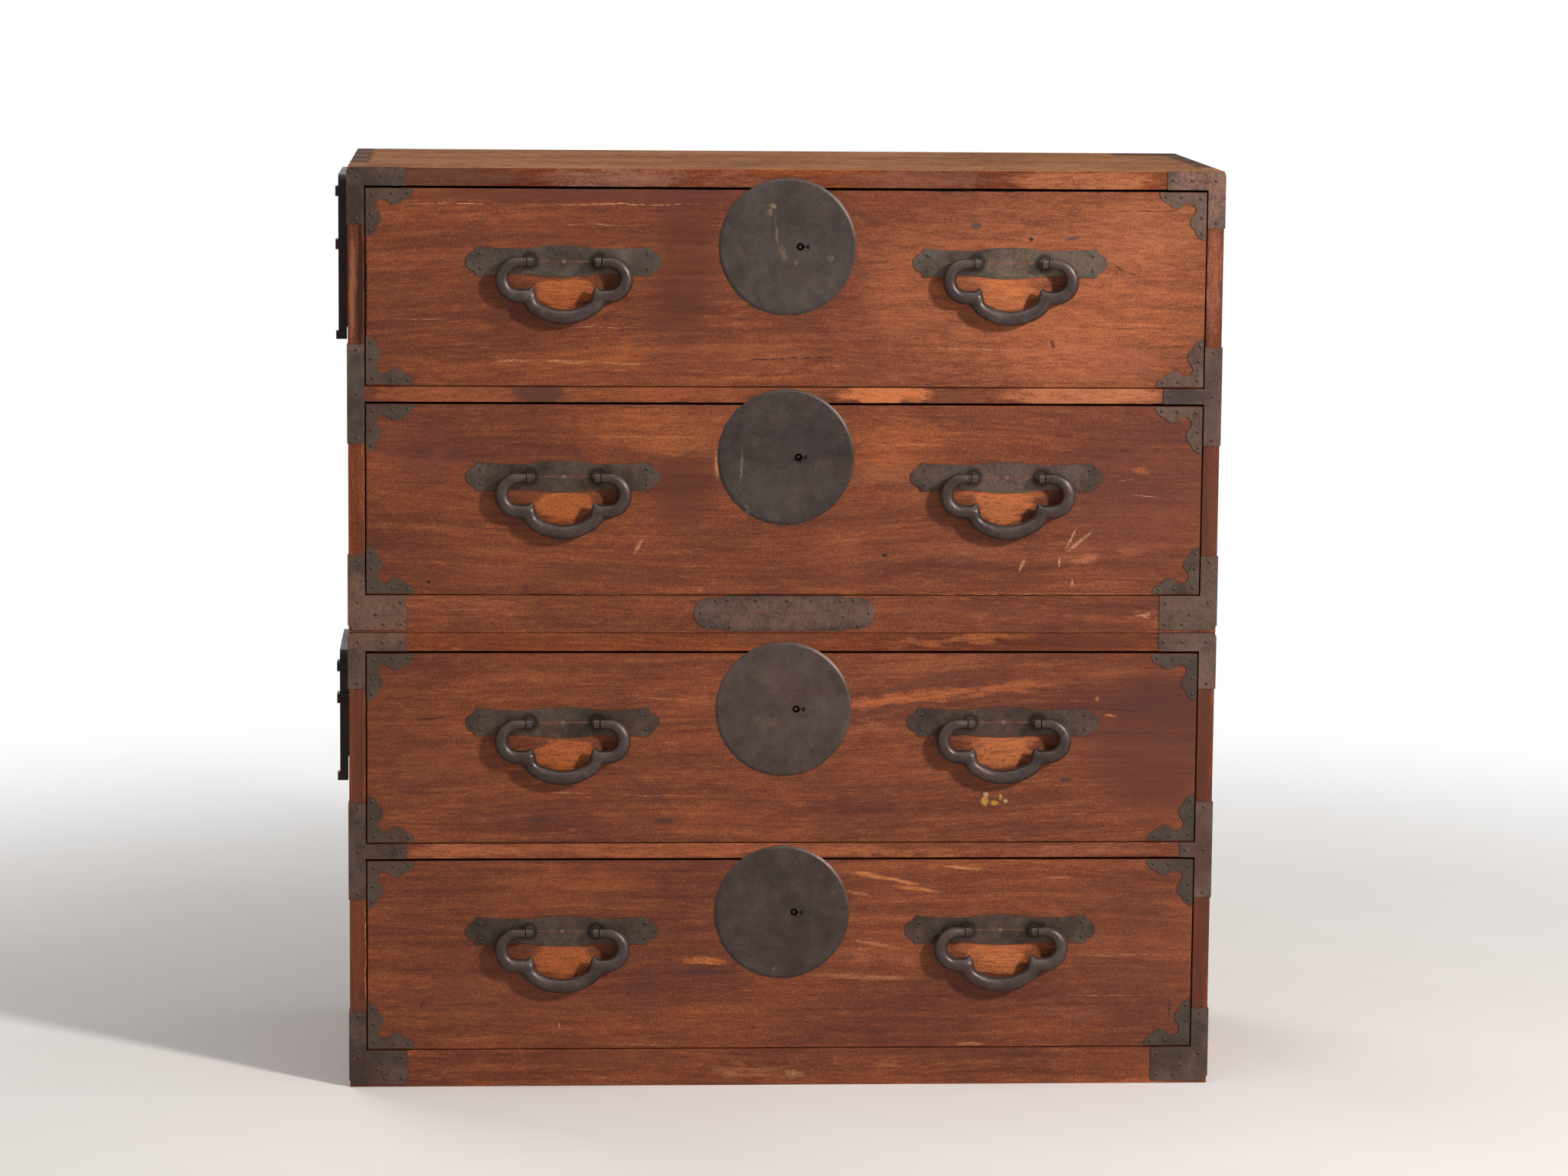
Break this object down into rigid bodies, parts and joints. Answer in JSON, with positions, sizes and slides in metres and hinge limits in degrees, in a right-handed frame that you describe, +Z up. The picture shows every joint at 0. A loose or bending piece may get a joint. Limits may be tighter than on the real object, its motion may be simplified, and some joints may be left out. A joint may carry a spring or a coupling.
{
  "type": "isho clothing chest",
  "caption": "Low wide stacked clothing chest with full-width drawers, round iron lock plates, lobed drop handles, iron corner mounts and carrying-pole irons on the sides.",
  "frame": {"origin": "on the floor, under the middle of the whole chest's width and depth, handles included", "axes": "+X to the right as seen from the front, -Y out of the front, +Z up"},
  "size_m": [1.0968, 0.4648, 1.13],
  "materials": {
    "front_wood": "worn satin",
    "case_wood": "worn satin",
    "worn_wood": "worn bare edge",
    "top_wood": "dry and dusty",
    "inner_wood": "bare",
    "flat_iron": "dark aged sheet",
    "lock_iron": "dark aged sheet",
    "bar_iron": "dark forged"
  },
  "bodies": {
    "lower_case": {"lower_side_boards": "case_wood", "lower_top_board": "top_wood", "lower_shelf": "worn_wood", "lower_bottom_board": "inner_wood", "lower_base_rails": "case_wood", "lower_back_panel": "inner_wood", "lower_case_irons": "flat_iron", "lower_pole_guides": "bar_iron"},
    "lower_pole_iron_left": {"lower_pole_iron_left": "bar_iron"},
    "lower_pole_iron_right": {"lower_pole_iron_right": "bar_iron"},
    "upper_case": {"upper_side_boards": "case_wood", "upper_top_board": "top_wood", "upper_shelf": "worn_wood", "upper_bottom_board": "inner_wood", "upper_base_rails": "case_wood", "upper_back_panel": "inner_wood", "upper_case_irons": "flat_iron", "upper_pole_guides": "bar_iron"},
    "upper_pole_iron_left": {"upper_pole_iron_left": "bar_iron"},
    "upper_pole_iron_right": {"upper_pole_iron_right": "bar_iron"},
    "drawer_1": {"drawer_1_front": "front_wood", "drawer_1_sides": "inner_wood", "drawer_1_back": "inner_wood", "drawer_1_bottom": "inner_wood", "drawer_1_lock": "lock_iron", "drawer_1_handle_mounts": "flat_iron", "drawer_1_corner_irons": "flat_iron"},
    "bolt_1": {"drawer_1_bolt": "bar_iron"},
    "bail_1_left": {"drawer_1_bail_left": "bar_iron"},
    "bail_1_right": {"drawer_1_bail_right": "bar_iron"},
    "drawer_2": {"drawer_2_front": "front_wood", "drawer_2_sides": "inner_wood", "drawer_2_back": "inner_wood", "drawer_2_bottom": "inner_wood", "drawer_2_lock": "lock_iron", "drawer_2_handle_mounts": "flat_iron", "drawer_2_corner_irons": "flat_iron"},
    "bolt_2": {"drawer_2_bolt": "bar_iron"},
    "bail_2_left": {"drawer_2_bail_left": "bar_iron"},
    "bail_2_right": {"drawer_2_bail_right": "bar_iron"},
    "drawer_3": {"drawer_3_front": "front_wood", "drawer_3_sides": "inner_wood", "drawer_3_back": "inner_wood", "drawer_3_bottom": "inner_wood", "drawer_3_lock": "lock_iron", "drawer_3_handle_mounts": "flat_iron", "drawer_3_corner_irons": "flat_iron"},
    "bolt_3": {"drawer_3_bolt": "bar_iron"},
    "bail_3_left": {"drawer_3_bail_left": "bar_iron"},
    "bail_3_right": {"drawer_3_bail_right": "bar_iron"},
    "drawer_4": {"drawer_4_front": "front_wood", "drawer_4_sides": "inner_wood", "drawer_4_back": "inner_wood", "drawer_4_bottom": "inner_wood", "drawer_4_lock": "lock_iron", "drawer_4_handle_mounts": "flat_iron", "drawer_4_corner_irons": "flat_iron"},
    "bolt_4": {"drawer_4_bolt": "bar_iron"},
    "bail_4_left": {"drawer_4_bail_left": "bar_iron"},
    "bail_4_right": {"drawer_4_bail_right": "bar_iron"}
  },
  "joints": [
    {"name": "lower_pole_iron_left_lift", "type": "slide", "parent": "lower_case", "child": "lower_pole_iron_left", "axis": [0, 0, 1], "range_m": [0, 0.087]},
    {"name": "lower_pole_iron_right_lift", "type": "slide", "parent": "lower_case", "child": "lower_pole_iron_right", "axis": [0, 0, 1], "range_m": [0, 0.087]},
    {"name": "upper_pole_iron_left_lift", "type": "slide", "parent": "upper_case", "child": "upper_pole_iron_left", "axis": [0, 0, 1], "range_m": [0, 0.1]},
    {"name": "upper_pole_iron_right_lift", "type": "slide", "parent": "upper_case", "child": "upper_pole_iron_right", "axis": [0, 0, 1], "range_m": [0, 0.1]},
    {"name": "upper_case_lift", "type": "slide", "parent": "lower_case", "child": "upper_case", "axis": [0, 0, 1], "range_m": [0, 0.15]},
    {"name": "drawer_1_slide", "type": "slide", "parent": "upper_case", "child": "drawer_1", "axis": [0, -1, 0], "range_m": [0, 0.3]},
    {"name": "bolt_1_rise", "type": "slide", "parent": "drawer_1", "child": "bolt_1", "axis": [0, 0, 1], "range_m": [0, 0.009]},
    {"name": "bail_1_left_swing", "type": "hinge", "parent": "drawer_1", "child": "bail_1_left", "pos_m": [-0.27, -0.22365, 1.0175], "axis": [-1, 0, 0], "range_deg": [-4, 184]},
    {"name": "bail_1_right_swing", "type": "hinge", "parent": "drawer_1", "child": "bail_1_right", "pos_m": [0.27, -0.22365, 1.0175], "axis": [-1, 0, 0], "range_deg": [-4, 184]},
    {"name": "drawer_2_slide", "type": "slide", "parent": "upper_case", "child": "drawer_2", "axis": [0, -1, 0], "range_m": [0, 0.3]},
    {"name": "bolt_2_rise", "type": "slide", "parent": "drawer_2", "child": "bolt_2", "axis": [0, 0, 1], "range_m": [0, 0.009]},
    {"name": "bail_2_left_swing", "type": "hinge", "parent": "drawer_2", "child": "bail_2_left", "pos_m": [-0.27, -0.22365, 0.7565], "axis": [-1, 0, 0], "range_deg": [-4, 184]},
    {"name": "bail_2_right_swing", "type": "hinge", "parent": "drawer_2", "child": "bail_2_right", "pos_m": [0.27, -0.22365, 0.7565], "axis": [-1, 0, 0], "range_deg": [-4, 184]},
    {"name": "drawer_3_slide", "type": "slide", "parent": "lower_case", "child": "drawer_3", "axis": [0, -1, 0], "range_m": [0, 0.3]},
    {"name": "bolt_3_rise", "type": "slide", "parent": "drawer_3", "child": "bolt_3", "axis": [0, 0, 1], "range_m": [0, 0.009]},
    {"name": "bail_3_left_swing", "type": "hinge", "parent": "drawer_3", "child": "bail_3_left", "pos_m": [-0.27, -0.22365, 0.4545], "axis": [-1, 0, 0], "range_deg": [-4, 184]},
    {"name": "bail_3_right_swing", "type": "hinge", "parent": "drawer_3", "child": "bail_3_right", "pos_m": [0.27, -0.22365, 0.4545], "axis": [-1, 0, 0], "range_deg": [-4, 184]},
    {"name": "drawer_4_slide", "type": "slide", "parent": "lower_case", "child": "drawer_4", "axis": [0, -1, 0], "range_m": [0, 0.3]},
    {"name": "bolt_4_rise", "type": "slide", "parent": "drawer_4", "child": "bolt_4", "axis": [0, 0, 1], "range_m": [0, 0.009]},
    {"name": "bail_4_left_swing", "type": "hinge", "parent": "drawer_4", "child": "bail_4_left", "pos_m": [-0.27, -0.22365, 0.195], "axis": [-1, 0, 0], "range_deg": [-4, 184]},
    {"name": "bail_4_right_swing", "type": "hinge", "parent": "drawer_4", "child": "bail_4_right", "pos_m": [0.27, -0.22365, 0.195], "axis": [-1, 0, 0], "range_deg": [-4, 184]}
  ]
}
